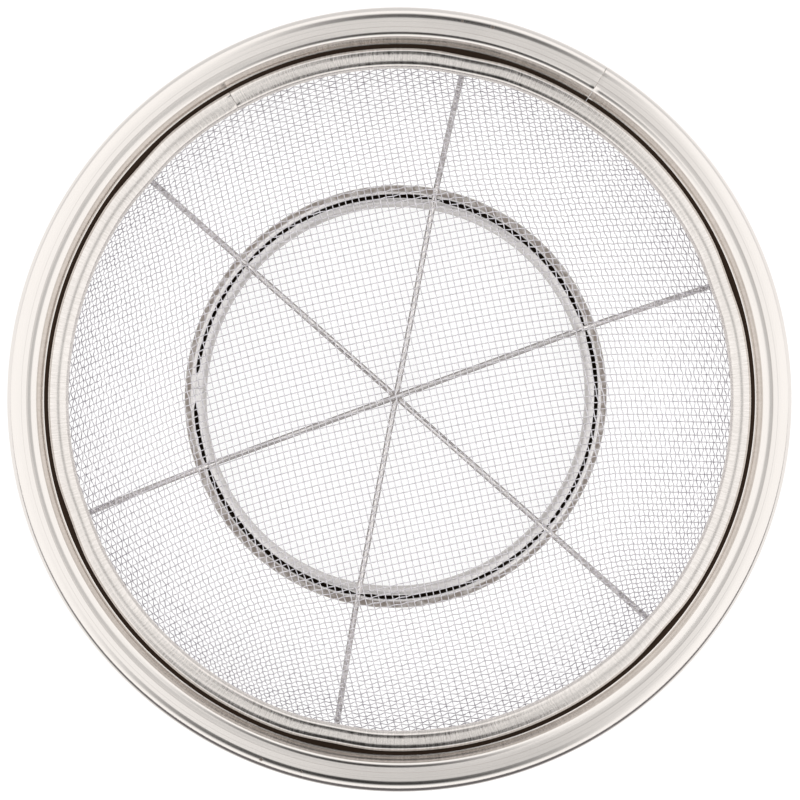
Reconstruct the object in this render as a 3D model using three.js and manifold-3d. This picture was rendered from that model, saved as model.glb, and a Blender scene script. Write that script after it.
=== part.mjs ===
// Round strainer basket of stainless steel: a bowl of wire cloth clamped between two formed hoops,
// carried by three crossed support wires on a split-tube foot ring.
// Millimetres, +Z up. The origin is under the middle of the bowl, on the surface the foot stands on.

import * as THREE from 'three';
import { mergeVertices } from 'three/addons/utils/BufferGeometryUtils.js';
import Module from 'manifold-3d';

const wasm = await Module();
wasm.setup();

const degree = Math.PI / 180;

// Fit between neighbouring pieces
const seatGap = 0.3;

// Bowl, measured on the middle of the cloth: flat base, corner, curved wall and straight clamped top
const baseRadius = 58;
const cornerRadius = 13;
const cornerAngle = 43 * degree;
const wallRadius = 128;
const wallTopAngle = 68 * degree;
const clampHeight = 8.15;

// Wire cloth, drawn as an open net with fewer and wider strands than the real cloth
const clothThickness = 0.8;
const strandPitch = 14.5;
const strandWidth = 1.2;
const clothTurn = 12.65 * degree;
const clothBow = 12 * degree;
const clothBowLength = 78;

// The cloth's plain hem reaches a little below the inner hoop
const hemReach = 1.2;

// Inner hoop: a leg inside the cloth, a rounded lip, a broad crown and a rounded outer edge
const innerSheet = 0.6;
const legHeight = 2.4;
const lipRadius = 1.75;
const innerCrownRadius = 4.9;
const innerCrownTilt = 20 * degree;
const innerEdgeRadius = 1.7;
const innerEdgeTurn = 65 * degree;

// Outer hoop: a skirt outside the cloth, a seat under the inner hoop, a flank beside the open gap, a rounded
// shoulder, a low crown, a land that falls away a little and an open rolled bead
const outerSheet = 0.6;
const skirtFoot = 3.2;
const seatBend = 0.8;
const gapWidth = 0.68;
const grooveRadius = 1;
const flankAngle = 50 * degree;
const flankLength = 2.83;
const shoulderRadius = 2.6;
const outerCrownRadius = 6.5;
const outerCrownTilt = 10 * degree;
const outerCrownFall = 2 * degree;
const landFall = 5 * degree;
const outerLand = 2.4;
const beadRadius = 3.8;
const beadTurn = 235 * degree;

// Three round support wires under the cloth, crossing in the middle
const ribDiameter = 1.8;
const ribTurns = [20 * degree, 79.1 * degree, 138.6 * degree];
const crossingReach = 12;

// Foot: a tube rolled from sheet, flattened below, with an open slot on top
const footRadius = 62.6;
const footTubeRadius = 3.5;
const footSheet = 0.7;
const footFlatDepth = 0.25;
const footSlotWidth = 1.3;
const footJointTurn = 177.5 * degree;
const footJointLength = 10;

// Facets
const hoopFacets = 48;
const lipSteps = 3;
const innerCrownSteps = 3;
const innerEdgeSteps = 3;
const smallBendSteps = 2;
const shoulderSteps = 3;
const beadSteps = 8;
const footSideSteps = 5;
const ribSides = 8;
const ribSteps = 44;

// Working limits: how close two corners merge, and how often a crossing of the cloth is refined
const mergeDistance = 1e-4;
const refinements = 40;

const sheetSteel = { color: 0xd8d5cf, roughness: 0.32, metalness: 1 };
const wireSteel = { color: 0xcfcdca, roughness: 0.28, metalness: 1 };

const clothHalf = clothThickness / 2;
const ribRadius = ribDiameter / 2;
const ribOffset = clothHalf + seatGap + ribRadius;
const innerOut = -(clothHalf + seatGap + innerSheet / 2);
const outerOut = clothHalf + seatGap + outerSheet / 2;

// The wall's arc carries on from the corner's arc, so both centres lie on one line
const cornerToWall = wallRadius - cornerRadius;
const wallCentreRadius = baseRadius - cornerToWall * Math.sin(cornerAngle);
const wallCentreLift = cornerRadius + cornerToWall * Math.cos(cornerAngle);

// Height of the cloth's base over the foot's tube, so that the wires lie one seat gap above that tube
function liftOverFoot() {
  const reach = ribOffset + ribRadius + seatGap + footTubeRadius;
  const over = footRadius - baseRadius;
  if (over <= 0) {
    return reach;
  }
  if (over <= (cornerRadius + reach) * Math.sin(cornerAngle)) {
    return Math.sqrt((cornerRadius + reach) ** 2 - over ** 2) - cornerRadius;
  }
  return Math.sqrt((wallRadius + reach) ** 2 - (footRadius - wallCentreRadius) ** 2) - wallCentreLift;
}

const footAxisHeight = footTubeRadius - footFlatDepth;
const baseHeight = footAxisHeight + liftOverFoot();

// Ends and centre of the wall's arc
const wallFoot = {
  r: baseRadius + cornerRadius * Math.sin(cornerAngle),
  z: baseHeight + cornerRadius * (1 - Math.cos(cornerAngle)),
};
const wallCentre = { r: wallCentreRadius, z: baseHeight + wallCentreLift };
const wallTop = {
  r: wallCentre.r + wallRadius * Math.sin(wallTopAngle),
  z: wallCentre.z - wallRadius * Math.cos(wallTopAngle),
};

// A point beside the clamped top of the wall: up from the curved wall, and outwards from the cloth's middle
function clampPoint(along, out) {
  return new THREE.Vector2(
    wallTop.r + along * Math.cos(wallTopAngle) + out * Math.sin(wallTopAngle),
    wallTop.z + along * Math.sin(wallTopAngle) - out * Math.cos(wallTopAngle),
  );
}

// The middle line of a bent strip, drawn in radius and height by going straight and by turning
class StripLine {
  constructor(start, heading) {
    this.points = [start];
    this.heading = heading;
  }

  get end() {
    return this.points[this.points.length - 1];
  }

  straight(length) {
    const way = new THREE.Vector2(Math.cos(this.heading), Math.sin(this.heading));
    this.points.push(this.end.clone().addScaledVector(way, length));
    return this;
  }

  fold(turn) {
    this.heading += turn;
    return this;
  }

  bend(radius, turn, steps) {
    const start = this.end;
    const side = Math.sign(turn) * radius;
    const from = this.heading;
    for (let i = 1; i <= steps; i++) {
      const heading = from + (turn * i) / steps;
      this.points.push(new THREE.Vector2(
        start.x + side * (Math.sin(heading) - Math.sin(from)),
        start.y - side * (Math.cos(heading) - Math.cos(from)),
      ));
    }
    this.heading = from + turn;
    return this;
  }
}

function arcPoints(centre, radius, from, to, steps) {
  const points = [];
  for (let i = 0; i <= steps; i++) {
    const angle = from + ((to - from) * i) / steps;
    points.push(new THREE.Vector2(
      centre.x + radius * Math.cos(angle),
      centre.y + radius * Math.sin(angle),
    ));
  }
  return points;
}

// Height and slope of the cloth's middle surface at a distance from the axis
function bowlSurface(r) {
  if (r <= baseRadius) {
    return { z: baseHeight, slope: 0 };
  }
  if (r <= wallFoot.r) {
    const over = r - baseRadius;
    const drop = Math.sqrt(cornerRadius ** 2 - over ** 2);
    return { z: baseHeight + cornerRadius - drop, slope: over / drop };
  }
  if (r <= wallTop.r) {
    const over = r - wallCentre.r;
    const drop = Math.sqrt(wallRadius ** 2 - over ** 2);
    return { z: wallCentre.z - drop, slope: over / drop };
  }
  const slope = Math.tan(wallTopAngle);
  return { z: wallTop.z + (r - wallTop.r) * slope, slope };
}

// Both faces of a sheet that follows a bent line, as one closed outline with mitred bends
function sheetOutline(line, thickness) {
  const half = thickness / 2;
  const left = [];
  const right = [];
  line.forEach((point, i) => {
    const before = line[Math.max(i - 1, 0)];
    const after = line[Math.min(i + 1, line.length - 1)];
    const into = (i > 0 ? point.clone().sub(before) : after.clone().sub(point)).normalize();
    const outOf = (i < line.length - 1 ? after.clone().sub(point) : into.clone()).normalize();
    const mitre = new THREE.Vector2(-into.y - outOf.y, into.x + outOf.x).normalize();
    const reach = half / (mitre.x * -into.y + mitre.y * into.x);
    left.push(point.clone().addScaledVector(mitre, reach));
    right.push(point.clone().addScaledVector(mitre, -reach));
  });
  return [...left, ...right.reverse()];
}

// A ring about Z from a closed outline in radius and height
function ring(outline) {
  const area = THREE.ShapeUtils.area(outline);
  const ordered = area > 0 ? [...outline] : [...outline].reverse();
  const geometry = new THREE.LatheGeometry([...ordered, ordered[0]], hoopFacets);
  geometry.rotateX(Math.PI / 2);
  return geometry;
}

function bare(geometry) {
  const plain = geometry.index ? geometry.toNonIndexed() : geometry.clone();
  plain.deleteAttribute('normal');
  plain.deleteAttribute('uv');
  return plain;
}

function solidOf(geometry) {
  const merged = mergeVertices(bare(geometry), mergeDistance);
  return new wasm.Manifold(new wasm.Mesh({
    numProp: 3,
    vertProperties: new Float32Array(merged.attributes.position.array),
    triVerts: new Uint32Array(merged.index.array),
  }));
}

function geometryOf(solid) {
  const mesh = solid.getMesh();
  const geometry = new THREE.BufferGeometry();
  geometry.setAttribute('position', new THREE.BufferAttribute(mesh.vertProperties, 3));
  geometry.setIndex(new THREE.BufferAttribute(mesh.triVerts, 1));
  geometry.computeVertexNormals();
  return geometry;
}

function piece(name, geometry, steel) {
  const mesh = new THREE.Mesh(geometry, new THREE.MeshStandardMaterial(steel));
  mesh.name = name;
  return mesh;
}

// A step along the bowl from a point, in a plan direction, whose straight length is the strand pitch
function stepAlong(point, heading) {
  let run = strandPitch;
  let next = point;
  for (let i = 0; i < refinements; i++) {
    next = onBowl(point.x + run * Math.cos(heading), point.y + run * Math.sin(heading));
    run *= strandPitch / next.distanceTo(point);
  }
  return next;
}

function onBowl(x, y) {
  return new THREE.Vector3(x, y, bowlSurface(Math.hypot(x, y)).z);
}

// The crossing that lies one strand pitch from each of two neighbours, by Newton's method on the bowl
function crossingFrom(a, b, opposite) {
  let x = a.x + b.x - opposite.x;
  let y = a.y + b.y - opposite.y;
  for (let i = 0; i < refinements; i++) {
    const r = Math.hypot(x, y);
    const { z, slope } = bowlSurface(r);
    const rows = [a, b].map((p) => {
      const dz = 2 * (z - p.z) * slope;
      return {
        miss: (x - p.x) ** 2 + (y - p.y) ** 2 + (z - p.z) ** 2 - strandPitch ** 2,
        dx: 2 * (x - p.x) + (dz * x) / r,
        dy: 2 * (y - p.y) + (dz * y) / r,
      };
    });
    const det = rows[0].dx * rows[1].dy - rows[0].dy * rows[1].dx;
    x -= (rows[0].miss * rows[1].dy - rows[1].miss * rows[0].dy) / det;
    y -= (rows[1].miss * rows[0].dx - rows[0].miss * rows[1].dx) / det;
  }
  return onBowl(x, y);
}

// Cloth pressed into a bowl keeps its strand pitch and shears instead, so the crossings are found
// outwards from two middle strands. The strands along the first way bow slightly, as pressed cloth does.
function clothCrossings(reach) {
  const rise = wallTop.z - baseHeight;
  const count = Math.ceil((reach + rise) / strandPitch) + 1;
  const crossings = new Map();
  const key = (i, j) => `${i},${j}`;
  const put = (i, j, point) => crossings.set(key(i, j), point);
  const get = (i, j) => crossings.get(key(i, j));
  put(0, 0, onBowl(0, 0));
  const limit = reach + strandPitch;
  for (const side of [1, -1]) {
    for (let i = 1; i <= count; i++) {
      const along = Math.min((i * strandPitch) / clothBowLength, 1);
      const bow = -side * clothBow * along ** 2;
      const start = get(side * (i - 1), 0);
      if (start && Math.hypot(start.x, start.y) < limit) {
        put(side * i, 0, stepAlong(start, clothTurn + bow + (side < 0 ? Math.PI : 0)));
      }
      const other = get(0, side * (i - 1));
      if (other && Math.hypot(other.x, other.y) < limit) {
        put(0, side * i, stepAlong(other, clothTurn + (side * Math.PI) / 2));
      }
    }
  }
  for (const si of [1, -1]) {
    for (const sj of [1, -1]) {
      for (let i = 1; i <= count; i++) {
        for (let j = 1; j <= count; j++) {
          const a = get(si * (i - 1), sj * j);
          const b = get(si * i, sj * (j - 1));
          const back = get(si * (i - 1), sj * (j - 1));
          if (a && b && back && Math.hypot(back.x, back.y) < limit) {
            put(si * i, sj * j, crossingFrom(a, b, back));
          }
        }
      }
    }
  }
  return { get, count };
}

// Outward normal of the bowl, pointing away from its inside
function bowlNormal(point) {
  const r = Math.hypot(point.x, point.y);
  const { slope } = bowlSurface(r);
  const scale = r > 0 ? slope / r : 0;
  return new THREE.Vector3(point.x * scale, point.y * scale, -1).normalize();
}

// The open net: every cell of the cloth is a four-sided frame, and neighbouring frames share their edges
function netGeometry(reach) {
  const { get, count } = clothCrossings(reach);
  const cells = new Map();
  for (let i = -count; i < count; i++) {
    for (let j = -count; j < count; j++) {
      const corners = [get(i, j), get(i + 1, j), get(i + 1, j + 1), get(i, j + 1)];
      const inside = corners.every(Boolean) && corners.some((p) => Math.hypot(p.x, p.y) < reach);
      if (inside) {
        cells.set(`${i},${j}`, corners);
      }
    }
  }
  const triangles = [];
  const quad = (a, b, c, d) => triangles.push(a, b, c, a, c, d);
  const face = (point, out) => point.clone().addScaledVector(bowlNormal(point), out);
  const inset = strandWidth / strandPitch / 2;
  const neighbour = [[0, -1], [1, 0], [0, 1], [-1, 0]];
  for (const [name, corners] of cells) {
    const [i, j] = name.split(',').map(Number);
    const hole = corners.map((point, k) => {
      const next = corners[(k + 1) % 4];
      const last = corners[(k + 3) % 4];
      const moved = point.clone()
        .addScaledVector(next.clone().sub(point), inset)
        .addScaledVector(last.clone().sub(point), inset);
      return onBowl(moved.x, moved.y);
    });
    for (let k = 0; k < 4; k++) {
      const n = (k + 1) % 4;
      quad(face(corners[k], -clothHalf), face(corners[n], -clothHalf),
        face(hole[n], -clothHalf), face(hole[k], -clothHalf));
      quad(face(corners[n], clothHalf), face(corners[k], clothHalf),
        face(hole[k], clothHalf), face(hole[n], clothHalf));
      quad(face(hole[k], -clothHalf), face(hole[n], -clothHalf),
        face(hole[n], clothHalf), face(hole[k], clothHalf));
      const beside = `${i + neighbour[k][0]},${j + neighbour[k][1]}`;
      if (!cells.has(beside)) {
        quad(face(corners[n], -clothHalf), face(corners[k], -clothHalf),
          face(corners[k], clothHalf), face(corners[n], clothHalf));
      }
    }
  }
  return new THREE.BufferGeometry().setFromPoints(triangles);
}

// The net ends in a plain hem, where the cloth is pressed flat between the hoops
function meshBowl() {
  const legFoot = clampHeight - legHeight;
  const hemLow = legFoot - hemReach;
  const hemLine = [clampPoint(hemLow, 0), clampPoint(clampHeight, 0)];
  const hem = solidOf(ring(sheetOutline(hemLine, clothThickness)));
  const trimLine = clampPoint((hemLow + legFoot) / 2, 0);
  const trimBlock = new THREE.BoxGeometry(4 * trimLine.x, 4 * trimLine.x, 2 * trimLine.y);
  const net = solidOf(netGeometry(trimLine.x));
  const bowl = net.intersect(solidOf(trimBlock)).add(hem);
  return piece('mesh_bowl', geometryOf(bowl), wireSteel);
}

function innerLine() {
  const half = innerSheet / 2;
  return new StripLine(clampPoint(clampHeight - legHeight, innerOut), wallTopAngle)
    .straight(legHeight)
    .bend(lipRadius - half, innerCrownTilt - wallTopAngle, lipSteps)
    .bend(innerCrownRadius - half, -2 * innerCrownTilt, innerCrownSteps)
    .bend(innerEdgeRadius - half, -innerEdgeTurn, innerEdgeSteps);
}

function innerHoop() {
  return piece('inner_hoop', ring(sheetOutline(innerLine().points, innerSheet)), sheetSteel);
}

// The seat lies one seat gap under the inner hoop's outer edge, and the flank starts beyond the open gap
function outerLine() {
  const half = outerSheet / 2;
  const edge = innerLine().end;
  const seatHeight = edge.y - seatGap - half;
  const skirtTop = seatHeight - seatBend * (1 - Math.cos(wallTopAngle));
  const skirtStart = clampPoint(skirtFoot, outerOut);
  const flankFoot = edge.x + innerSheet / 2 + gapWidth;
  const line = new StripLine(skirtStart, wallTopAngle)
    .straight((skirtTop - skirtStart.y) / Math.sin(wallTopAngle))
    .bend(seatBend, -wallTopAngle, smallBendSteps);
  return line
    .straight(flankFoot - line.end.x)
    .bend(grooveRadius + half, flankAngle, smallBendSteps)
    .straight(flankLength)
    .bend(shoulderRadius - half, outerCrownTilt - flankAngle, shoulderSteps)
    .bend(outerCrownRadius - half, -outerCrownTilt - outerCrownFall, smallBendSteps)
    .fold(outerCrownFall - landFall)
    .straight(outerLand)
    .bend(beadRadius - half, -beadTurn, beadSteps);
}

function outerHoop() {
  return piece('outer_hoop', ring(sheetOutline(outerLine().points, outerSheet)), sheetSteel);
}

// One support wire: up one wall, under the base and up the other wall, dipping under the wires above it
class RibLine extends THREE.Curve {
  constructor(turn, dip) {
    super();
    this.turn = turn;
    this.dip = dip;
    this.wallRun = (wallRadius + ribOffset) * (wallTopAngle - cornerAngle);
    this.cornerRun = (cornerRadius + ribOffset) * cornerAngle;
    this.topRun = skirtFoot - seatGap;
    this.halfRun = baseRadius + this.cornerRun + this.wallRun + this.topRun;
  }

  // Radius and height at a distance along the wire from the middle
  profile(run) {
    if (run <= baseRadius) {
      const near = Math.min(run / (crossingReach * (1 + this.dip)), 1);
      const drop = (this.dip * (ribDiameter + seatGap) * (1 + Math.cos(Math.PI * near))) / 2;
      return { r: run, z: baseHeight - ribOffset - drop };
    }
    const inCorner = run - baseRadius;
    if (inCorner <= this.cornerRun) {
      const angle = inCorner / (cornerRadius + ribOffset);
      return {
        r: baseRadius + (cornerRadius + ribOffset) * Math.sin(angle),
        z: baseHeight + cornerRadius - (cornerRadius + ribOffset) * Math.cos(angle),
      };
    }
    const onWall = inCorner - this.cornerRun;
    if (onWall <= this.wallRun) {
      const angle = cornerAngle + onWall / (wallRadius + ribOffset);
      return {
        r: wallCentre.r + (wallRadius + ribOffset) * Math.sin(angle),
        z: wallCentre.z - (wallRadius + ribOffset) * Math.cos(angle),
      };
    }
    const point = clampPoint(onWall - this.wallRun, ribOffset);
    return { r: point.x, z: point.y };
  }

  getPoint(t, target = new THREE.Vector3()) {
    const run = (2 * t - 1) * this.halfRun;
    const { r, z } = this.profile(Math.abs(run));
    const side = Math.sign(run) * r;
    return target.set(side * Math.cos(this.turn), side * Math.sin(this.turn), z);
  }
}

function supportWire(index) {
  const section = new THREE.Shape();
  for (let i = 0; i < ribSides; i++) {
    const angle = ((i + 0.5) * 2 * Math.PI) / ribSides;
    const x = ribRadius * Math.cos(angle);
    const y = ribRadius * Math.sin(angle);
    if (i === 0) {
      section.moveTo(x, y);
    } else {
      section.lineTo(x, y);
    }
  }
  const geometry = new THREE.ExtrudeGeometry(section, {
    steps: ribSteps,
    bevelEnabled: false,
    extrudePath: new RibLine(ribTurns[index], index),
  });
  return piece(`support_wire_${index + 1}`, geometry, wireSteel);
}

// The foot's tube is open along its top, but for the short stretch where its two ends are joined
function footRing() {
  const middle = footTubeRadius - footSheet / 2;
  const centre = new THREE.Vector2(footRadius, footAxisHeight);
  const slotHalf = Math.asin(footSlotWidth / 2 / middle);
  const flatHalf = Math.acos((footAxisHeight - footSheet / 2) / middle);
  const top = Math.PI / 2;
  const innerSide = arcPoints(centre, middle, top + slotHalf, 3 * top - flatHalf, footSideSteps);
  const outerSide = arcPoints(centre, middle, flatHalf - top, top - slotHalf, footSideSteps);
  const tube = solidOf(ring(sheetOutline([...innerSide, ...outerSide], footSheet)));
  const bridge = arcPoints(centre, middle, top + 2 * slotHalf, top - 2 * slotHalf, 2);
  const bridgeRing = solidOf(ring(sheetOutline(bridge, footSheet)));
  const stretch = new THREE.BoxGeometry(4 * footTubeRadius, footJointLength, 4 * footTubeRadius);
  stretch.translate(footRadius, 0, footAxisHeight);
  stretch.rotateZ(footJointTurn);
  const joined = tube.add(bridgeRing.intersect(solidOf(stretch)));
  return piece('foot_ring', geometryOf(joined), sheetSteel);
}

const strainer = new THREE.Group();
strainer.add(outerHoop());
strainer.add(innerHoop());
strainer.add(meshBowl());
ribTurns.forEach((turn, index) => strainer.add(supportWire(index)));
strainer.add(footRing());

export default strainer;
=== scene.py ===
# %% [markdown]
# # A strainer basket of wire cloth
# This lesson dresses a round stainless steel strainer basket. The real one is a bowl of woven wire cloth
# whose edge is clamped between two rolled hoops. Three round wires cross under the bowl and carry it on a
# split-tube foot ring. The solids of the basket are loaded first and are never moved. Each one is then
# replaced by a finer piece that stands in the same place, and every piece gets its own steel finish.

# %% Load the frame
import math
import bpy
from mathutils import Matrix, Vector


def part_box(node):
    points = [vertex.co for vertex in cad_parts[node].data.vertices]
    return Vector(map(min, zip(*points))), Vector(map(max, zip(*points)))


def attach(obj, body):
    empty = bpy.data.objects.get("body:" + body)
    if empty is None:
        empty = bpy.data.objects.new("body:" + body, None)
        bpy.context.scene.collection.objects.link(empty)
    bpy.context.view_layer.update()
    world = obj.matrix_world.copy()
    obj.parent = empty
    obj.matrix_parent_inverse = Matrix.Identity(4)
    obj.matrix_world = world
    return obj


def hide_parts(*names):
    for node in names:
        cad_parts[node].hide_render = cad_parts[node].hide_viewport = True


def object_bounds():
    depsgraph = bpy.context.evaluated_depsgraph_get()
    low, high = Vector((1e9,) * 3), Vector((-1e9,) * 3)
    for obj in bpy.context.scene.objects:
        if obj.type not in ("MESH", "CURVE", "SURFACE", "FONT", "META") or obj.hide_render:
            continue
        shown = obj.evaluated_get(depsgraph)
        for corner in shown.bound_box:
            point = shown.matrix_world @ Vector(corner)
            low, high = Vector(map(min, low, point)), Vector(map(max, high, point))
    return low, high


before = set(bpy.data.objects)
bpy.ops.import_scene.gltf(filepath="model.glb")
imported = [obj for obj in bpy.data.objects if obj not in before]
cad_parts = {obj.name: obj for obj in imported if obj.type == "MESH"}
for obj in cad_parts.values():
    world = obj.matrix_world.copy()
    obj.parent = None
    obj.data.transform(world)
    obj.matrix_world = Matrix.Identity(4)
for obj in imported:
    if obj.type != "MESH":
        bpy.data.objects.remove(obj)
cad_low, cad_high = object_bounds()
mm = 0.001
print("solids:", sorted(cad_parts))
print("basket across and high, mm:", (cad_high.x - cad_low.x) / mm, cad_high.z / mm)

# %% [markdown]
# ## The bowl's profile
# Everything on the basket follows one line: a flat base, a tight corner, a long curved wall and a short
# straight top, where the hoops clamp the cloth. The line could be drawn by hand, but as a formula it
# serves the cloth, the hoops and the wires alike. The sizes are those of the solids, measured on the
# middle of the cloth.

# %% Bowl profile
base_radius = 58 * mm
corner_radius = 13 * mm
corner_angle = math.radians(43)
wall_radius = 128 * mm
wall_top_angle = math.radians(68)
clamp_height = 8.15 * mm
cloth_half = 0.4 * mm
base_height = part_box("mesh_bowl")[0].z + cloth_half

corner_end = base_radius + corner_radius * math.sin(corner_angle)
wall_centre_r = base_radius - (wall_radius - corner_radius) * math.sin(corner_angle)
wall_centre_z = base_height + corner_radius + (wall_radius - corner_radius) * math.cos(corner_angle)
wall_top_r = wall_centre_r + wall_radius * math.sin(wall_top_angle)
wall_top_z = wall_centre_z - wall_radius * math.cos(wall_top_angle)


def bowl_line(r):
    """Height and slope of the cloth's middle at a distance from the axis."""
    if r <= base_radius:
        return base_height, 0.0
    if r <= corner_end:
        over = r - base_radius
        drop = math.sqrt(corner_radius ** 2 - over ** 2)
        return base_height + corner_radius - drop, over / drop
    if r <= wall_top_r:
        over = r - wall_centre_r
        drop = math.sqrt(wall_radius ** 2 - over ** 2)
        return wall_centre_z - drop, over / drop
    slope = math.tan(wall_top_angle)
    return wall_top_z + (r - wall_top_r) * slope, slope


def clamp_point(along, out):
    """Radius and height at the clamped top: up from the curved wall, and outwards from the cloth's middle."""
    return (
        wall_top_r + along * math.cos(wall_top_angle) + out * math.sin(wall_top_angle),
        wall_top_z + along * math.sin(wall_top_angle) - out * math.cos(wall_top_angle),
    )


print("top of the curved wall, mm:", round(wall_top_r / mm, 2), round(wall_top_z / mm, 2))

# %% [markdown]
# ## Rolling a strip into a hoop
# The hoops and the foot start as flat strip, are rolled to their section and bent round until the two
# ends meet. A lathe modifier or a bevelled circle would give a closed ring without that meeting line.
# Here a plane is merged to one point, the point is extruded along the section, and the section is spun
# round the axis. The spin stops just short of a full turn, so the butt joint is really there. Solidify
# then gives the sheet its thickness and a small bevel breaks the strip's sharp edges.

# %% Section helper
class StripLine:
    """The middle line of a bent strip in radius and height, drawn by going straight and by turning."""

    arc_step = math.radians(5)
    longest_step = 0.3 * mm

    def __init__(self, start, heading):
        self.points = [start]
        self.heading = heading

    def straight(self, length):
        r, z = self.points[-1]
        self.points.append((r + length * math.cos(self.heading), z + length * math.sin(self.heading)))
        return self

    def fold(self, turn):
        self.heading += turn
        return self

    def bend(self, radius, turn):
        r, z = self.points[-1]
        side = math.copysign(radius, turn)
        start = self.heading
        steps = math.ceil(max(abs(turn) / self.arc_step, radius * abs(turn) / self.longest_step))
        for i in range(1, steps + 1):
            heading = start + turn * i / steps
            self.points.append((
                r + side * (math.sin(heading) - math.sin(start)),
                z - side * (math.cos(heading) - math.cos(start)),
            ))
        self.heading = start + turn
        return self


print("longest step of a bend, mm:", StripLine.longest_step / mm)

# %% Strip helpers
strip_steps = 384
joint_gap = 0.09 * mm
edge_break = 0.1 * mm
strip_corner = math.radians(60)
strip_smooth = math.radians(50)


def turned(point, turn):
    """A point of a section, turned about the axis."""
    return Vector((point[0] * math.cos(turn), point[0] * math.sin(turn), point[1]))


def spin_strip(name, section, joint_turn):
    """A sheet with no thickness: the section spun from its joint all the way round."""
    bpy.ops.object.select_all(action="DESELECT")
    bpy.ops.mesh.primitive_plane_add(size=mm)
    strip = bpy.context.active_object
    strip.name = name
    bpy.ops.object.mode_set(mode="EDIT")
    bpy.ops.mesh.select_all(action="SELECT")
    bpy.ops.mesh.merge(type="CENTER")
    last = turned(section[0], joint_turn)
    bpy.ops.transform.translate(value=last)
    for point in section[1:]:
        here = turned(point, joint_turn)
        bpy.ops.mesh.extrude_vertices_move(TRANSFORM_OT_translate={"value": here - last})
        last = here
    bpy.ops.mesh.select_all(action="SELECT")
    widest = max(point[0] for point in section)
    turn = 2 * math.pi - joint_gap / widest
    bpy.ops.mesh.spin(steps=strip_steps, angle=turn, center=(0, 0, 0), axis=(0, 0, 1))
    bpy.ops.mesh.select_all(action="SELECT")
    bpy.ops.mesh.normals_make_consistent(inside=False)
    bpy.ops.object.mode_set(mode="OBJECT")
    return strip


def apply_modifier(piece, kind, **settings):
    """Adds one modifier with its settings and applies it at once."""
    bpy.context.view_layer.objects.active = piece
    modifier = piece.modifiers.new(kind.title(), kind)
    for key, value in settings.items():
        setattr(modifier, key, value)
    bpy.ops.object.modifier_apply(modifier=modifier.name)


def thicken(piece, sheet):
    """Gives a strip its thickness, half to each side, breaks its edges and keeps its wide faces flat."""
    apply_modifier(piece, "SOLIDIFY", thickness=sheet, offset=0, use_even_offset=True, use_rim=True)
    apply_modifier(piece, "BEVEL", width=edge_break, segments=2, limit_method="ANGLE",
                   angle_limit=strip_corner)
    bpy.ops.object.shade_smooth_by_angle(angle=strip_smooth)
    apply_modifier(piece, "WEIGHTED_NORMAL", keep_sharp=True)


def seat(piece, node):
    """The finished piece rides on the basket and stands for its solid, which is hidden."""
    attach(piece, "root")
    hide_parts(node)
    piece.data.calc_loop_triangles()
    print(piece.name, "triangles:", len(piece.data.loop_triangles))


print("steps round a strip:", strip_steps, "gap at its joint, mm:", joint_gap / mm)

# %% [markdown]
# ## The inner hoop
# The inner hoop binds the cloth's edge. Its strip has a short leg inside the cloth, a rounded lip, a
# broad crown and an outer edge that turns down into the open gap. The support wires end behind it, so the
# strip stands a little further in at those six places and the gap is wider there. Each place is pulled in
# with proportional editing, as one would do by hand. A photograph from above shows no section, so the
# bends are set until the reflections fall in the right places.

# %% Inner hoop
seat_gap = 0.3 * mm
inner_sheet = 0.6 * mm
inner_play = 0.4 * mm
leg_foot = 1.28 * mm
leg_height = 1 * mm
lip_radius = 2.2 * mm
inner_crown_radius = 4.9 * mm
inner_crown_tilt = math.radians(20)
inner_edge_radius = 2 * mm
inner_edge_turn = math.radians(65)
inner_joint = math.radians(119)
wire_turns = [math.radians(turn) for turn in (20, 79.1, 138.6)]
wire_ends = [turn + half for turn in wire_turns for half in (0, math.pi)]
tuck_depth = 0.45 * mm
tuck_reach = 15 * mm

inner_half = inner_sheet / 2
inner_out = -(cloth_half + seat_gap + inner_play + inner_half)
inner_line = StripLine(clamp_point(clamp_height - leg_foot, inner_out), wall_top_angle)
inner_line.straight(leg_height).bend(lip_radius - inner_half, inner_crown_tilt - wall_top_angle)
inner_line.bend(inner_crown_radius - inner_half, -2 * inner_crown_tilt)
inner_line.bend(inner_edge_radius - inner_half, -inner_edge_turn)
inner_edge = inner_line.points[-1]


def pull_in(piece, turn):
    """Pulls the strip's outer edge towards the axis at one place, with the metal beside it following."""
    edge = turned(inner_edge, turn)
    bpy.ops.object.mode_set(mode="EDIT")
    bpy.ops.mesh.select_all(action="DESELECT")
    bpy.ops.object.mode_set(mode="OBJECT")
    nearest = min(piece.data.vertices, key=lambda vertex: (vertex.co - edge).length)
    nearest.select = True
    bpy.ops.object.mode_set(mode="EDIT")
    inwards = (-tuck_depth * math.cos(turn), -tuck_depth * math.sin(turn), 0)
    bpy.ops.transform.translate(value=inwards, use_proportional_edit=True, proportional_size=tuck_reach,
                                proportional_edit_falloff="SMOOTH")
    bpy.ops.object.mode_set(mode="OBJECT")


band = spin_strip("clamp_band", inner_line.points, inner_joint)
for turn in wire_ends:
    pull_in(band, turn)
thicken(band, inner_sheet)
seat(band, "inner_hoop")

# %% [markdown]
# ## The outer hoop
# The outer hoop is the rim that a hand holds. A skirt outside the cloth turns out into a seat under the
# inner hoop, then up a flank beside the open gap and over a rounded shoulder to a low crown. A faint
# break in the slope follows, then a land that falls away a little, and the strip ends in an open bead
# that curls back under itself. A curve drawn by hand could pass for it, but straight runs and bends are
# what a rolling mill makes, and each one can be set by itself.

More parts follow.
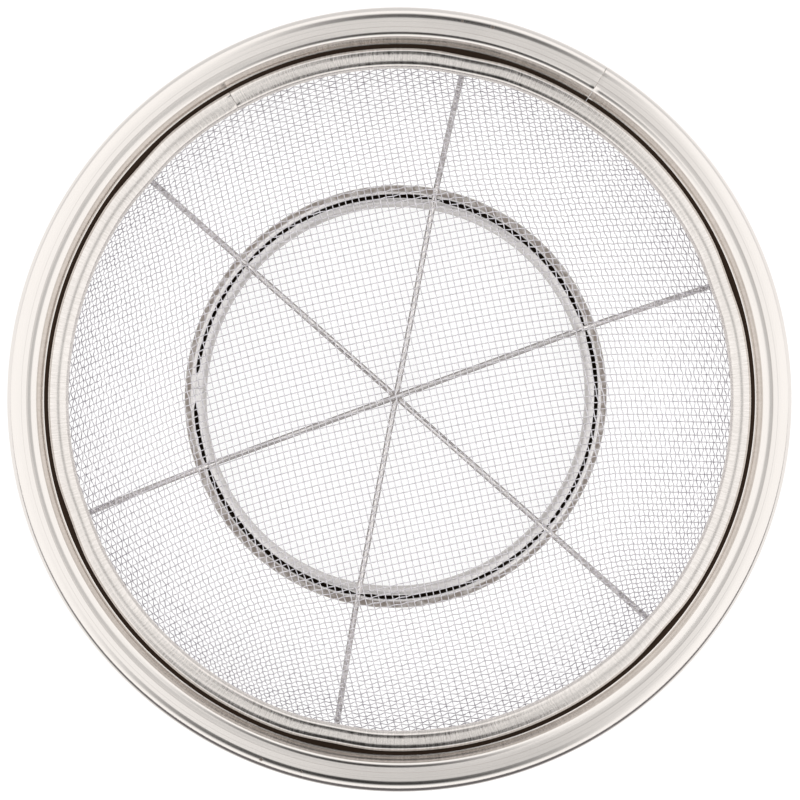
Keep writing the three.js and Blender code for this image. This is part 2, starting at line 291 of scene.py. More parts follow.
# %% Outer hoop
outer_sheet = 0.6 * mm
skirt_foot = 3.2 * mm
seat_bend = 0.8 * mm
gap_width = 0.85 * mm
groove_radius = 1 * mm
groove_edge_angle = math.radians(42)
groove_edge = 0.5 * mm
flank_angle = math.radians(50)
flank_length = 2.1 * mm
shoulder_radius = 2.6 * mm
outer_crown_radius = 9.7 * mm
outer_crown_tilt = math.radians(6)
outer_crown_fall = math.radians(1)
land_fall = math.radians(5)
outer_land = 2.33 * mm
bead_radius = 4.1 * mm
bead_turn = math.radians(235)
outer_joint = math.radians(58.1)

outer_half = outer_sheet / 2
outer_out = cloth_half + seat_gap + outer_half
seat_height = inner_edge[1] - seat_gap - outer_half
skirt_top = seat_height - seat_bend * (1 - math.cos(wall_top_angle))
skirt_start = clamp_point(skirt_foot, outer_out)
flank_foot = inner_edge[0] + inner_half + gap_width
outer_line = StripLine(skirt_start, wall_top_angle)
outer_line.straight((skirt_top - skirt_start[1]) / math.sin(wall_top_angle))
outer_line.bend(seat_bend, -wall_top_angle)
outer_line.straight(flank_foot - outer_line.points[-1][0])
outer_line.bend(groove_radius + outer_half, groove_edge_angle)
flank_start = outer_line.points[-1]
outer_line.straight(groove_edge).fold(flank_angle - groove_edge_angle)
outer_line.straight(flank_length).bend(shoulder_radius - outer_half, outer_crown_tilt - flank_angle)
outer_line.bend(outer_crown_radius - outer_half, -outer_crown_tilt - outer_crown_fall)
slope_break = outer_line.points[-1]
outer_line.fold(outer_crown_fall - land_fall).straight(outer_line.longest_step)
outer_line.straight(outer_land - outer_line.longest_step)
land_end = outer_line.points[-1]
outer_line.bend(bead_radius - outer_half, -bead_turn)

rim = spin_strip("rolled_rim", outer_line.points, outer_joint)
thicken(rim, outer_sheet)
seat(rim, "outer_hoop")

# %% [markdown]
# ## The wire cloth
# Woven cloth pressed into a bowl can't stretch. Its wires keep their spacing and the square cells lean
# over into diamonds instead. So the crossings are worked out from two middle wires: each next crossing
# lies one pitch from two crossings that are known already. A texture or a wrapped flat grid would smear
# on the wall. The middle wire from left to right bows a little, as the pressed cloth does.

# %% Crossings of the cloth
wire_pitch = 25.4 * mm / 12
cloth_turn = math.radians(12.65)
cloth_bow = math.radians(12)
cloth_bow_length = 78 * mm
hem_trim = 0.4 * mm
hem_radius = clamp_point(clamp_height - hem_trim, 0)[0]
most_tries = 30
close_enough = 1e-9


def on_bowl(x, y):
    return Vector((x, y, bowl_line(math.hypot(x, y))[0]))


def step_along(start, heading):
    """The point of the bowl one pitch from a start, in a plan direction."""
    run = wire_pitch
    for _ in range(most_tries):
        here = on_bowl(start.x + run * math.cos(heading), start.y + run * math.sin(heading))
        run *= wire_pitch / (here - start).length
    return here


def crossing_from(a, b, opposite):
    """The point of the bowl one pitch from each of two crossings, by Newton's method."""
    x = a.x + b.x - opposite.x
    y = a.y + b.y - opposite.y
    for _ in range(most_tries):
        r = math.hypot(x, y)
        z, slope = bowl_line(r)
        rows = []
        for p in (a, b):
            fall = 2 * (z - p.z) * slope
            miss = (x - p.x) ** 2 + (y - p.y) ** 2 + (z - p.z) ** 2 - wire_pitch ** 2
            rows.append((miss, 2 * (x - p.x) + fall * x / r, 2 * (y - p.y) + fall * y / r))
        (miss_a, ax, ay), (miss_b, bx, by) = rows
        det = ax * by - ay * bx
        dx = (miss_a * by - miss_b * ay) / det
        dy = (miss_b * ax - miss_a * bx) / det
        x -= dx
        y -= dy
        if abs(dx) + abs(dy) < close_enough:
            break
    return on_bowl(x, y)


def inside_hem(point, margin):
    return math.hypot(point.x, point.y) < hem_radius + margin


def cloth_crossings():
    """Crossing points by wire number each way, found outwards from the middle."""
    net = {(0, 0): on_bowl(0, 0)}
    count = math.ceil((hem_radius + wall_top_z) / wire_pitch) + 2
    for side in (1, -1):
        for i in range(1, count):
            bow = -side * cloth_bow * min(i * wire_pitch / cloth_bow_length, 1) ** 2
            away = math.pi if side < 0 else 0
            for start, end, heading in (
                ((side * (i - 1), 0), (side * i, 0), cloth_turn + bow + away),
                ((0, side * (i - 1)), (0, side * i), cloth_turn + side * math.pi / 2),
            ):
                if start in net and inside_hem(net[start], wire_pitch):
                    net[end] = step_along(net[start], heading)
    for si in (1, -1):
        for sj in (1, -1):
            for i in range(1, count):
                for j in range(1, count):
                    a = net.get((si * (i - 1), sj * j))
                    b = net.get((si * i, sj * (j - 1)))
                    back = net.get((si * (i - 1), sj * (j - 1)))
                    if a and b and back and inside_hem(back, wire_pitch):
                        net[si * i, sj * j] = crossing_from(a, b, back)
    return net


net = cloth_crossings()
print("crossings:", sum(inside_hem(point, 0) for point in net.values()))

# %% [markdown]
# ## Weaving the wires
# Each wire goes over one neighbour and under the next. It lies level for a short way at each crossing and
# slopes between them, so two points at every crossing draw it well. The wires of each way are drawn as
# one curve with a round bevel and then made a mesh. The wave is a little stronger than touching wires
# need, which draws the bright dots of the cloth. Every second wire goes to a second piece, which keeps
# each piece light.

# %% Woven wires
wire_diameter = 0.32 * mm
level_share = 0.22
crimp = 0.7 * wire_diameter
wire_sides = 6
wire_smooth = math.radians(75)


def bowl_normal(point):
    """The direction out of the bowl's inside, square to the cloth."""
    r = math.hypot(point.x, point.y)
    slope = bowl_line(r)[1]
    if r == 0 or slope == 0:
        return Vector((0, 0, 1))
    return Vector((-point.x / r * slope, -point.y / r * slope, 1)).normalized()


def woven_line(keys, rise):
    """Points of one wire through its crossings, lifted over or pushed under at each."""
    line = []
    for n, key in enumerate(keys):
        here = net[key]
        lift = bowl_normal(here) * (rise if (key[0] + key[1]) % 2 else -rise)
        for other in (keys[max(n - 1, 0)], keys[min(n + 1, len(keys) - 1)]):
            line.append(here + (net[other] - here) * level_share + lift)
    return line


def wires_one_way(way):
    """Crossing keys of each wire that runs one way, in order along the wire."""
    wires = {}
    for key in sorted(net, key=lambda key: key[way]):
        if inside_hem(net[key], 0):
            wires.setdefault(key[1 - way], []).append(key)
    runs = []
    for number in sorted(wires):
        keys = wires[number]
        pieces = [[keys[0]]]
        for last, key in zip(keys, keys[1:]):
            if key[way] - last[way] > 1:
                pieces.append([])
            pieces[-1].append(key)
        runs += [(number, run) for run in pieces if len(run) > 2]
    return runs


def wire_mesh(name, lines, diameter, sides):
    """Round wires along lines of points, as one mesh object."""
    curve = bpy.data.curves.new(name, "CURVE")
    curve.dimensions = "3D"
    curve.bevel_depth = diameter / 2
    curve.bevel_resolution = (sides - 4) // 2
    curve.use_fill_caps = True
    for line in lines:
        spline = curve.splines.new("POLY")
        spline.points.add(len(line) - 1)
        for point, place in zip(spline.points, line):
            point.co = (*place, 1)
    drawn = bpy.data.objects.new(name, curve)
    bpy.context.collection.objects.link(drawn)
    bpy.ops.object.select_all(action="DESELECT")
    drawn.select_set(True)
    bpy.context.view_layer.objects.active = drawn
    bpy.ops.object.convert(target="MESH")
    wires = bpy.context.active_object
    bpy.ops.object.shade_smooth_by_angle(angle=wire_smooth)
    return wires


cloth = []
for way, way_name in enumerate(("cross", "long")):
    rise = crimp * (1 if way == 0 else -1)
    runs = wires_one_way(way)
    for half, half_name in enumerate(("even", "odd")):
        lines = [woven_line(keys, rise) for number, keys in runs if number % 2 == half]
        wires = wire_mesh(f"cloth_{way_name}_wires_{half_name}", lines, wire_diameter, wire_sides)
        seat(wires, "mesh_bowl")
        cloth.append(wires)

# %% [markdown]
# ## The support wires
# Three round wires carry the cloth from rim to rim. They cross under the middle of the base, where the
# second dips under the first and the third under both. A curve with a round bevel is the plain way to
# draw a bent wire.

# %% Support wires
support_diameter = 1.8 * mm
support_sides = 16
support_offset = cloth_half + seat_gap + support_diameter / 2
crossing_reach = 12 * mm
wire_step = 1.2 * mm
corner_run = (corner_radius + support_offset) * corner_angle
wall_run = (wall_radius + support_offset) * (wall_top_angle - corner_angle)
top_run = skirt_foot - seat_gap


def support_point(run, dip):
    """Radius and height of a support wire at a distance along it from the middle."""
    if run <= base_radius:
        near = min(run / (crossing_reach * (1 + dip)), 1)
        drop = dip * (support_diameter + seat_gap) * (1 + math.cos(math.pi * near)) / 2
        return run, base_height - support_offset - drop
    run -= base_radius
    if run <= corner_run:
        angle = run / (corner_radius + support_offset)
        reach = corner_radius + support_offset
        return base_radius + reach * math.sin(angle), base_height + corner_radius - reach * math.cos(angle)
    run -= corner_run
    if run <= wall_run:
        angle = corner_angle + run / (wall_radius + support_offset)
        reach = wall_radius + support_offset
        return wall_centre_r + reach * math.sin(angle), wall_centre_z - reach * math.cos(angle)
    return clamp_point(run - wall_run, support_offset)


half_run = base_radius + corner_run + wall_run + top_run
half_steps = round(half_run / wire_step)
supports = []
for dip, turn in enumerate(wire_turns):
    arm = [support_point(half_run * i / half_steps, dip) for i in range(half_steps + 1)]
    line = [turned(point, turn + math.pi) for point in reversed(arm[1:])]
    line += [turned(point, turn) for point in arm]
    support = wire_mesh(f"support_rod_{dip + 1}", [line], support_diameter, support_sides)
    seat(support, f"support_wire_{dip + 1}")
    supports.append(support)

# %% [markdown]
# ## The foot ring
# The foot is a strip rolled into a tube that stays open along its top. It is pinched where the support
# wires are welded on, and its slot is closed for a short stretch where its own ends are joined. The tube
# is spun with an even slot first, and its lips are then turned about the tube's middle line until the
# slot has the right width.

# %% Foot ring
foot_radius = 62.6 * mm
foot_sheet = 0.7 * mm
foot_outside = 3.5 * mm
foot_flat = 0.25 * mm
foot_tube = foot_outside - foot_sheet / 2
foot_axis = foot_outside - foot_flat
foot_joint = math.radians(177.5)
slot_width = 1.4 * mm
slot_narrow = 1 * mm
slot_pinched = 0.3 * mm
pinch_reach = 4.5 * mm
joint_reach = 7 * mm
foot_oval = 0.35 * mm
foot_oval_turn = math.radians(50)


def ease(distance, reach):
    """One at a place, falling smoothly to nothing at a reach from it."""
    share = min(distance / reach, 1)
    return (1 + math.cos(math.pi * share)) / 2


def turn_between(a, b):
    return abs((a - b + math.pi) % (2 * math.pi) - math.pi)


def slot_at(turn):
    """Width of the open slot at a turn about the axis."""
    wide = (1 + math.cos(2 * (turn - foot_oval_turn))) / 2
    width = slot_narrow + (slot_width - slot_narrow) * wide
    pinch = max(ease(turn_between(turn, end) * foot_radius, pinch_reach) for end in wire_ends)
    width += (slot_pinched - width) * pinch
    joined = ease(max(turn_between(turn, foot_joint) * foot_radius - joint_reach / 2, 0), joint_reach / 2)
    return width * (1 - joined)


even_half = math.asin(slot_width / 2 / foot_tube)
slot_lip = (foot_radius - foot_tube * math.sin(even_half), foot_axis + foot_tube * math.cos(even_half))
foot_line = StripLine(slot_lip, math.pi + even_half).bend(foot_tube, 2 * (math.pi - even_half))
foot = spin_strip("foot_tube", foot_line.points, foot_joint)
for vertex in foot.data.vertices:
    turn = math.atan2(vertex.co.y, vertex.co.x)
    r = math.hypot(vertex.co.x, vertex.co.y)
    roll = math.atan2(r - foot_radius, foot_axis - vertex.co.z)
    half = math.asin(slot_at(turn) / 2 / foot_tube)
    roll *= (math.pi - half) / (math.pi - even_half)
    oval = foot_oval * math.cos(2 * (turn - foot_oval_turn))
    place = (
        foot_radius + oval + foot_tube * math.sin(roll),
        max(foot_axis - foot_tube * math.cos(roll), foot_sheet / 2),
    )
    vertex.co = turned(place, turn)
thicken(foot, foot_sheet)
seat(foot, "foot_ring")

# %% [markdown]
# ## Shader maths in plain Python
# A steel finish mixes a few patterns, and their sums are easier to read as Python than as a web of nodes.
# This small class wraps one socket. Adding or multiplying two of them makes the Math node, and one method
# adds any other node.

# %% Shader helper
class Flow:
    """A value that runs through a material's nodes."""

    def __init__(self, tree, socket=None):
        self.tree = tree
        self.socket = socket

    def node(self, kind, settings=None, inputs=None, output=0):
        """Adds a node of any kind, sets it, fills its sockets and gives one of its outputs."""
        made = self.tree.nodes.new(kind)
        for key, value in (settings or {}).items():
            setattr(made, key, value)
        for key, value in (inputs or {}).items():
            if isinstance(value, Flow):
                self.tree.links.new(value.socket, made.inputs[key])
            else:
                made.inputs[key].default_value = value
        return Flow(self.tree, made.outputs[output])

    def math(self, operation, *values, clamp=False):
        settings = {"operation": operation, "use_clamp": clamp}
        return self.node("ShaderNodeMath", settings, dict(enumerate(values)))

    def __add__(self, other):
        return self.math("ADD", self, other)

    __radd__ = __add__

    def __sub__(self, other):
        return self.math("SUBTRACT", self, other)

    def __rsub__(self, other):
        return self.math("SUBTRACT", other, self)

    def __mul__(self, other):
        return self.math("MULTIPLY", self, other)

    __rmul__ = __mul__

    def __truediv__(self, other):
        return self.math("DIVIDE", self, other)

    def __rtruediv__(self, other):
        return self.math("DIVIDE", other, self)

    def rise(self, low, high):
        """Nothing below low, one above high, and smooth between."""
        return self.node("ShaderNodeMapRange", {"interpolation_type": "SMOOTHSTEP"},
                         {"Value": self, "From Min": low, "From Max": high})


print("shader helper:", Flow.__doc__)

# %% Steel helpers
def new_steel(name, metal):
    """A steel with its shader, and the flow that its nodes start from."""
    material = bpy.data.materials.new(name)
    material.use_nodes = True
    shader = material.node_tree.nodes["Principled BSDF"]
    shader.inputs["Metallic"].default_value = metal
    return material, shader, Flow(material.node_tree)


def feed(flow, shader, socket):
    flow.tree.links.new(flow.socket, shader.inputs[socket])


def feed_bump(height, shader, strength, distance):
    """A small bump from a pattern."""
    sockets = {"Height": height, "Strength": strength, "Distance": distance}
    feed(height.node("ShaderNodeBump", inputs=sockets), shader, "Normal")


def mix_colour(factor, first, second):
    """The first colour where the factor is nothing, and the second where it is one."""
    sockets = {"Factor": factor, 6: first, 7: second}
    return factor.node("ShaderNodeMix", {"data_type": "RGBA"}, sockets, output=2)


def object_place(flow):
    """The Object coordinate, which stays with the piece."""
    return flow.node("ShaderNodeTexCoord", output="Object")


def parts_of(vector):
    """The x, y and z of a vector."""
    return [vector.node("ShaderNodeSeparateXYZ", inputs={0: vector}, output=i) for i in range(3)]


def noise(vector, scale, detail, roughness=0.5):
    """A noise pattern between 0 and 1 over a vector."""
    sockets = {"Vector": vector, "Scale": scale, "Detail": detail, "Roughness": roughness}
    return vector.node("ShaderNodeTexNoise", inputs=sockets)


print("pattern helpers:", [helper.__name__ for helper in (mix_colour, object_place, parts_of, noise)])

# %% [markdown]
# ## Satin sheet steel
# The hoops and the foot are satin sheet. Rolling leaves faint lines along the strip, and the inner hoop
# is also brushed across the strip. Both are noise on stretched coordinates: the way round the hoop and
# the way over the strip are scaled apart, so the pattern draws out into lines. A picture of brushed steel
# would need a file and would show a seam. The lines change the colour, the roughness and a very small
# bump, so they catch the light as scratches do.

# %% Sheet steel
satin_spread = 0.65
along_the_strip = 0.0
across_the_strip = 0.25
fine_lines = 2600
drawn_stretch = 30
brushed_stretch = 200
brushed_rough = 0.65
brushed_low = 0.34
brushed_high = 0.66
height_share = 0.7
cloud_scale = 40
cloud_tone = 0.6
line_tone = 0.8
least_tone = 0.2
cloud_rough = 0.08
line_rough = 0.2
line_bump = 0.2
line_height = 0.1 * mm
# Dark brown for the marks, also used as painted shade on the rim and painted reflection on the foot.
mark_and_shade_colour = (0.25, 0.21, 0.185, 1)
mark_rough = 0.2


def joined(x, y):
    """Two values as one vector."""
    return x.node("ShaderNodeCombineXYZ", inputs={0: x, 1: y})


def sheet_steel(name, light, dark, roughness, along, across, spread_turn, marks=None, metal=1):
    """Satin sheet with drawn lines along the strip, brush lines across it, and darker, rougher marks, among
    them painted shade and painted reflection.
    """
    material, shader, flow = new_steel(name, metal)
    shader.inputs["Anisotropic"].default_value = satin_spread
    shader.inputs["Anisotropic Rotation"].default_value = spread_turn
    place = object_place(flow)
    x, y, z = parts_of(place)
    radius = flow.math("SQRT", x * x + y * y)
    round_way = flow.math("ARCTAN2", y, x) * hem_radius
    over_way = radius + z * height_share
    drawn = noise(joined(round_way * drawn_stretch, over_way * fine_lines), 1, 3)
    brushed = noise(joined(round_way * fine_lines, over_way * brushed_stretch), 1, 4, brushed_rough)
    brushed = brushed.rise(brushed_low, brushed_high)
    cloudy = noise(place, cloud_scale, 3)
    lines = (drawn - 0.5) * along + (brushed - 0.5) * across
    tone = flow.math("ADD", cloudy * cloud_tone + lines * line_tone, least_tone, clamp=True)
    colour = mix_colour(tone, dark, light)
    rough = roughness + (cloudy - 0.5) * cloud_rough + lines * line_rough
    if marks:
        darkened = marks(place, radius)
        colour = mix_colour(darkened, colour, mark_and_shade_colour)
        rough = rough + darkened * mark_rough
    feed(colour, shader, "Base Color")
    feed(rough, shader, "Roughness")
    feed_bump(lines, shader, line_bump, line_height)
    return material


print("fine lines in a metre:", fine_lines)

# %% [markdown]
# ## Painted shade, painted reflection and marks on the sheet
# Two thin lines run along the outer hoop. Along the slope's break a darker, rougher line is painted shade,
# and a little further out lies a faint drawn line. The hoop also has a few small dark round spots. The top of
# the foot is painted brown in blotches, mostly on its outer half, as painted reflection of the cloth above
# and the shaded floor. Painted masks could show all this, but distances from the axis and from the spots need
# no picture and stay sharp at any size.

# %% Marks on the sheet
# The first ring is painted shade along the slope's break, the second a faint drawn line.
shade_and_line_rings = [(slope_break[0], 0.2 * mm, 0.26), (slope_break[0] + 1.6 * mm, 0.12 * mm, 0.15)]
ring_core = 0.4
bead_spots = [
    (math.radians(76.1), 114.9 * mm, 0.75 * mm),
    (math.radians(80.7), 114.9 * mm, 0.5 * mm),
    (math.radians(248.8), 115.4 * mm, 0.75 * mm),
    (math.radians(255.1), 115.2 * mm, 0.5 * mm),
]
spot_core = 0.5
rim_top_start = land_end[1] - 0.45 * mm
rim_top_full = land_end[1] - 0.25 * mm
foot_top_start = foot_axis + 0.2 * mm
foot_top_full = foot_axis + 1.4 * mm
# The foot's top is painted brown here as painted reflection, outside and a little on the inner edge.
brown_out = (foot_radius + 1.1 * mm, foot_radius + 1.7 * mm)
brown_in = (foot_radius - 3.1 * mm, foot_radius - 2.2 * mm)
brown_in_share = 0.4
blotch_scale = 450
blotch_share = 0.35


def rim_marks(place, radius):
    """Where the outer hoop is darker and rougher: painted shade along the slope's break, a faint drawn line
    and a few small spots.
    """
    x, y, z = parts_of(place)
    darkened = 0
    for ring_radius, half_width, strength in shade_and_line_rings:
        off = radius.math("ABSOLUTE", radius - ring_radius)
        line = (1 - off.rise(half_width * ring_core, half_width)) * strength
        darkened = radius.math("MAXIMUM", darkened, line)
    for turn, spot_radius, size in bead_spots:
        dx = x - spot_radius * math.cos(turn)
        dy = y - spot_radius * math.sin(turn)
        off = radius.math("SQRT", dx * dx + dy * dy)
        darkened = radius.math("MAXIMUM", darkened, 1 - off.rise(size * spot_core, size))
    return darkened * z.rise(rim_top_start, rim_top_full)


def foot_painted_reflection(place, radius):
    """Painted reflection of the cloth above and the shaded floor, in brown blotches on top of the foot,
    mostly on its outer half.
    """
    z = parts_of(place)[2]
    blotch = noise(place, blotch_scale, 2).rise(0.3, 0.6)
    outwards = radius.rise(*brown_out) * (1 - blotch_share + blotch * blotch_share)
    inwards = (1 - radius.rise(*brown_in)) * brown_in_share
    return (outwards + inwards) * z.rise(foot_top_start, foot_top_full)


print("weld spots:", len(bead_spots), "dull lines:", len(shade_and_line_rings))

# %% Dress the sheet pieces
rim_satin = sheet_steel(
    "rim_satin", light=(0.83, 0.787, 0.75, 1), dark=(0.75, 0.708, 0.672, 1), roughness=0.19,
    along=0.35, across=0.04, spread_turn=along_the_strip, marks=rim_marks,
)
band_brushed = sheet_steel(
    "band_brushed", light=(0.86, 0.815, 0.78, 1), dark=(0.62, 0.58, 0.545, 1), roughness=0.17,
    along=0.15, across=0.55, spread_turn=along_the_strip,
)
foot_satin = sheet_steel(
    "foot_satin", light=(0.97, 0.945, 0.93, 1), dark=(0.90, 0.87, 0.85, 1), roughness=0.13,
    along=0.3, across=0.06, spread_turn=across_the_strip, marks=foot_painted_reflection, metal=0.4,
)
rim.data.materials.append(rim_satin)
band.data.materials.append(band_brushed)
foot.data.materials.append(foot_satin)
print("sheet finishes:", rim_satin.name, band_brushed.name, foot_satin.name)

# %% [markdown]
# ## Painted shade in the recesses
# The open gap between the hoops, the underside of the inner hoop and the inside of the foot's tube lie in
# shade. Their faces get a second, near-black material that paints that shade, with a rough finish. Those
# faces are picked by their place and by the way they face.

# %% Painted shade in the recesses
gap_start = inner_edge[0] - 1.5 * mm
gap_end = flank_foot + 0.4 * mm
facing_down = -0.2
# Near-black sheet: painted shade in the gap, under the inner hoop and inside the foot's tube.
recess_shade_sheet = sheet_steel(
    "recess_shade_sheet", light=(0.055, 0.036, 0.025, 1), dark=(0.025, 0.016, 0.011, 1), roughness=0.5,
    along=0.6, across=0.1, spread_turn=across_the_strip,
)


def in_the_gap(r, z, out, up):
    return gap_start < r < gap_end and z < flank_start[1] and up > facing_down


def under_the_band(r, z, out, up):
    return r > gap_start and up < facing_down


def inside_the_foot(r, z, out, up):
    return (r - foot_radius) * out + (z - foot_axis) * up < -foot_tube / 2


def paint_recess_shade(piece, in_shade):
    """Gives the faces that lie in shade the near-black second material, which is painted shade."""
    piece.data.materials.append(recess_shade_sheet)
    count = 0
    for face in piece.data.polygons:
        around = Vector((face.center.x, face.center.y, 0)).normalized()
        r = math.hypot(face.center.x, face.center.y)
        if in_shade(r, face.center.z, face.normal.dot(around), face.normal.z):
            face.material_index = 1
            count += 1
    print(piece.name, "dull faces:", count)


paint_recess_shade(rim, in_the_gap)
paint_recess_shade(band, under_the_band)
paint_recess_shade(foot, inside_the_foot)

# %% [markdown]
# ## Drawn wire
# The cloth and the support wires are drawn through a die, which leaves a bright skin with small dull
# patches. Noise over the place on the wire makes the patches, and a finer one a little bump. The patches
# get stronger up the wall, which is painted shade on the wall's wires. The sides of the support wires are
# painted dark as painted reflection of the shaded floor, except where they cross the foot. A pattern on the
# place alone can't tell a wire's side, so the mesh stores it as an attribute.

# %% Wire steel
# The support wires' sides are painted this dark colour as painted reflection of the shaded floor below.
side_reflection_colour = (0.20, 0.175, 0.165, 1)
side_start = 0.45
side_full = 0.95
# The dull patches grow up the wall between these heights: painted shade on the wall's wires.
wall_shade_start = base_height + 4 * mm
wall_shade_full = base_height + 52 * mm
base_dull = 0.3
patch_low = 0.35
patch_high = 0.65
patch_rough = 0.12
grain_count = 12
grain_rough = 0.1
grain_bump = 0.1
grain_height = 0.05 * mm


def mark_sides(support, turn):
    """Stores how far each point of a support wire lies beside its middle, as a share of its radius."""
    side = support.data.attributes.new("side", "FLOAT", "POINT")
    for vertex, stored in zip(support.data.vertices, side.data):
        across = vertex.co.y * math.cos(turn) - vertex.co.x * math.sin(turn)
        over_foot = abs(math.hypot(vertex.co.x, vertex.co.y) - foot_radius) < foot_tube
        stored.value = 0 if over_foot else abs(across) / (support_diameter / 2)


def wire_steel(name, light, dark, roughness, patch, metal):
    """Drawn wire with dull patches of a given size, growing up the wall as painted shade, and sides painted
    dark as painted reflection where the mesh marks them. Fine wire that isn't polished is less of a mirror.
    """
    material, shader, flow = new_steel(name, metal)
    place = object_place(flow)
    # Painted shade: the patches grow stronger up the wall.
    wall_shade = parts_of(place)[2].rise(wall_shade_start, wall_shade_full)
    patches = noise(place, 1 / patch, 2).rise(patch_low, patch_high)
    darkened = patches * (base_dull + wall_shade * (1 - base_dull))
    side = flow.node("ShaderNodeAttribute", {"attribute_name": "side"}, output="Fac")
    grain = noise(place, grain_count / patch, 2)
    drawn = mix_colour(darkened, light, dark)
    # Painted reflection: a support wire's sides turn dark, except over the foot.
    feed(mix_colour(side.rise(side_start, side_full), drawn, side_reflection_colour), shader, "Base Color")
    feed(roughness + darkened * patch_rough + (grain - 0.5) * grain_rough, shader, "Roughness")
    feed_bump(grain, shader, grain_bump, grain_height)
    return material


cloth_steel = wire_steel(
    "cloth_steel", light=(0.93, 0.905, 0.93, 1), dark=(0.38, 0.35, 0.39, 1), roughness=0.2,
    patch=1.3 * mm, metal=0.6,
)
support_steel = wire_steel(
    "support_steel", light=(0.86, 0.83, 0.815, 1), dark=(0.34, 0.32, 0.31, 1), roughness=0.16,
    patch=1.6 * mm, metal=1,
)
for wires in cloth:
    wires.data.materials.append(cloth_steel)
for support, turn in zip(supports, wire_turns):
    mark_sides(support, turn)
    support.data.materials.append(support_steel)
print("wire finishes:", cloth_steel.name, support_steel.name)

# %% [markdown]
# ## The studio
# Steel shows what is round it, so the room makes most of the picture. Lamps would leave hard spots on the
# rim, so the room is a world that depends on direction instead: bright walls, a dimmer strip overhead,
# and a dark opening high up in front and another behind, which draw the dark streaks on the rim. Angles
# are in degrees.

# %% Studio room
room_light = 1.22
dark_light = 0.03
dark_openings = ((80, 9, 34), (264, 15, 45))
dark_heights = (20, 42, 61, 72)
zenith_dim = 0.46
zenith_middle = 0.06
zenith_tilts = (4.5, 10.5)
zenith_heights = (40, 60)
no_zero = 1e-6
white = (1, 1, 1, 1)


def sines(degrees):
    return [math.sin(math.radians(angle)) for angle in degrees]


def studio_room():
    """A world whose light depends on the direction, and which is plain white to the camera."""
    world = bpy.data.worlds.new("studio")
    bpy.context.scene.world = world
    world.use_nodes = True
    tree = world.node_tree
    tree.nodes.clear()
    flow = Flow(tree)
    x, y, z = parts_of(flow.node("ShaderNodeTexCoord", output="Generated"))
    level = flow.math("SQRT", x * x + y * y + no_zero)
    dark = 0
    for opening in dark_openings:
        turn, half, fade = [math.radians(angle) for angle in opening]
        towards = (x * math.cos(turn) + y * math.sin(turn)) / level
        dark = dark + towards.rise(math.cos(fade), math.cos(half))
    low, low_full, high_full, high = sines(dark_heights)
    dark = dark * z.rise(low, low_full) * (1 - z.rise(high_full, high))
    aside = flow.math("ABSOLUTE", x - zenith_middle)
    above = (1 - aside.rise(*sines(zenith_tilts))) * z.rise(*sines(zenith_heights))
    light = (room_light - dark * (room_light - dark_light)) * (1 - above * zenith_dim)
    room = flow.node("ShaderNodeBackground", inputs={"Color": white, "Strength": light})
    paper = flow.node("ShaderNodeBackground", inputs={"Color": white, "Strength": 1.0})
    seen = flow.node("ShaderNodeLightPath", output="Is Camera Ray")
    shown = flow.node("ShaderNodeMixShader", inputs={0: seen, 1: room, 2: paper})
    output = tree.nodes.new("ShaderNodeOutputWorld")
    tree.links.new(shown.socket, output.inputs["Surface"])
    return world


print("world:", studio_room().name, "with dark openings:", len(dark_openings))

# %% [markdown]
# ## The floor
# The floor is pale and takes the basket's soft shadow. To the camera it is white paper, and the steel
# shows that too. Out of the picture it gets darker towards the front, and a little towards the back,
# which the rim's outer edge shows. A plain white plane would do for the camera, but the rim would then
# fade into it.

# %% Studio floor
floor_size = 12.0
paper_in_steel = 0.95
edge_start = 0.125
edge_full = 0.22
back_share = 0.35
pale_grey = (0.5, 0.5, 0.5, 1)
edge_grey = (0.17, 0.16, 0.165, 1)
shade_grey = (0.4, 0.4, 0.4, 1)
paper_glow = 0.75


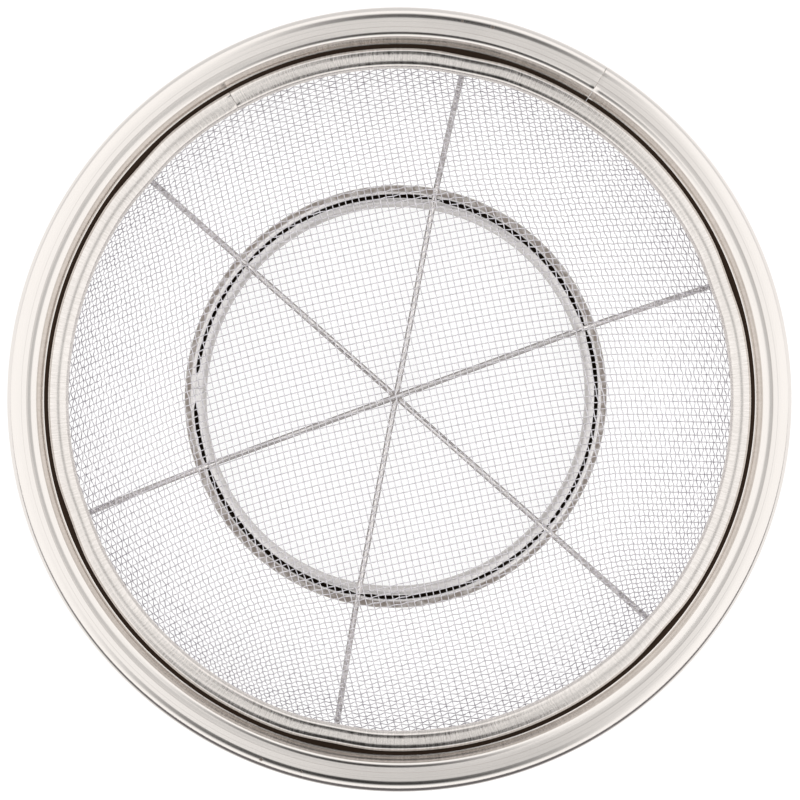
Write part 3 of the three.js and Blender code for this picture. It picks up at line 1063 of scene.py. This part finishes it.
def pale_floor():
    """A plane that is white paper to the camera and in the steel, and a pale floor to all other light."""
    bpy.ops.object.select_all(action="DESELECT")
    bpy.ops.mesh.primitive_plane_add(size=floor_size)
    floor = bpy.context.active_object
    floor.name = "floor"
    material = bpy.data.materials.new("pale_paper")
    material.use_nodes = True
    tree = material.node_tree
    tree.nodes.clear()
    flow = Flow(tree)
    ray_kinds = ("Is Camera Ray", "Is Glossy Ray", "Is Transmission Ray")
    to_camera, in_gloss, through = [flow.node("ShaderNodeLightPath", output=kind) for kind in ray_kinds]
    y = parts_of(object_place(flow))[1]
    away = 1 - y.rise(-edge_full, -edge_start) + y.rise(edge_start, edge_full) * back_share
    in_steel = in_gloss * (1 - away) * paper_in_steel
    seen = flow.math("MAXIMUM", flow.math("MAXIMUM", to_camera, in_steel), through)
    lit = flow.node("ShaderNodeBsdfDiffuse", inputs={"Color": mix_colour(away, pale_grey, edge_grey)})
    glow = flow.node("ShaderNodeEmission", inputs={"Color": white, "Strength": paper_glow})
    shaded = flow.node("ShaderNodeBsdfDiffuse", inputs={"Color": shade_grey})
    paper = flow.node("ShaderNodeAddShader", inputs={0: shaded, 1: glow})
    shown = flow.node("ShaderNodeMixShader", inputs={0: seen, 1: lit, 2: paper})
    output = tree.nodes.new("ShaderNodeOutputMaterial")
    tree.links.new(shown.socket, output.inputs["Surface"])
    floor.data.materials.append(material)
    return floor


print("stage:", pale_floor().name, "across, m:", floor_size)

# %% [markdown]
# ## The camera
# The photograph looks almost straight down from about 1.4 metres, a little from the left and from above
# the middle. The rim fills nearly all of the square frame. The distance makes the cloth on the base a
# little smaller than the rim, by the same share as in the photograph.

# %% Camera
frame_pixels = 800
rim_pixels = 784
camera_distance = 1436 * mm
camera_left = -31 * mm
camera_up = 25 * mm
sensor = 36.0

rim_radius = cad_high.x
rim_height = land_end[1] - bead_radius
camera_data = bpy.data.cameras.new("camera")
camera_data.sensor_width = sensor
half_frame = rim_radius * frame_pixels / rim_pixels
camera_data.lens = sensor / 2 * camera_distance / half_frame
camera = bpy.data.objects.new("camera", camera_data)
bpy.context.collection.objects.link(camera)
camera.location = (camera_left, camera_up, rim_height + camera_distance)
camera.rotation_euler = (-math.atan(camera_up / camera_distance), math.atan(camera_left / camera_distance), 0)
scene = bpy.context.scene
scene.camera = camera
scene.view_settings.view_transform = "Standard"
print("lens, mm:", round(camera_data.lens, 1))

# %% [markdown]
# ## The basket's size
# The dressed basket must stay as large as its solids.
